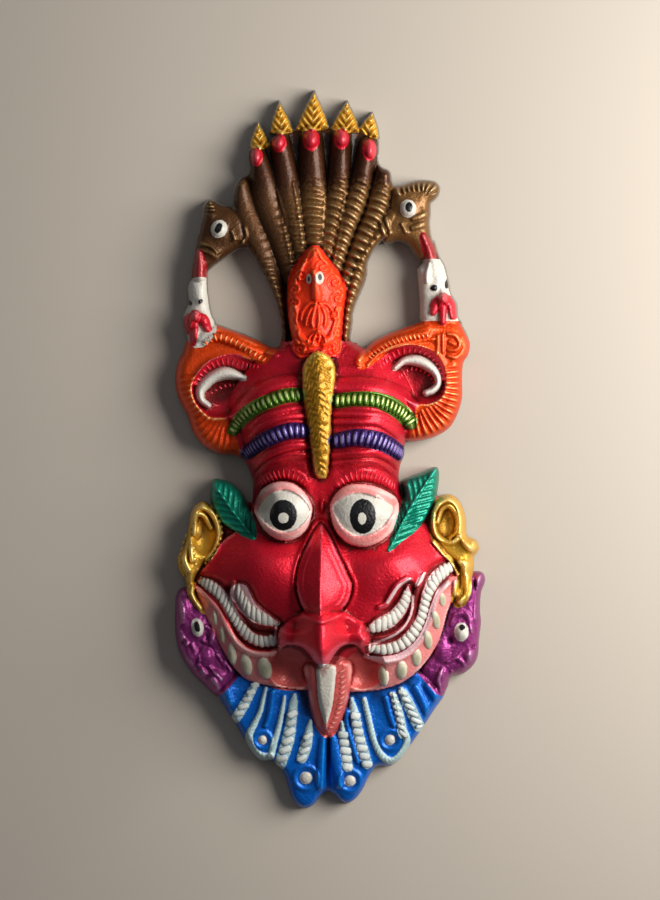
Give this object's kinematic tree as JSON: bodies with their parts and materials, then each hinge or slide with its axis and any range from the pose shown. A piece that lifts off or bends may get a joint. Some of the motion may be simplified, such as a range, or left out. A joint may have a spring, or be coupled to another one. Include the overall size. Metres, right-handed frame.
{
  "type": "kirtimukha wall mask",
  "caption": "Painted cast mask: wide-grinning horned face under a fan of crowned snakes, with big ears, side bird heads, a feathered brow and a roped beard.",
  "frame": {"origin": "middle of the outline, in the back plane that the mask lies on", "axes": "+Z out of the face, +Y towards the crowns, +X to the right of someone who looks at the face"},
  "size_m": [0.1985, 0.4593, 0.07],
  "materials": {
    "painted casting": "glossy red, gold, orange, blue and purple enamels and tinted lacquers over bare cast metal"
  },
  "bodies": {
    "root": {"mask": "painted casting"}
  },
  "joints": []
}
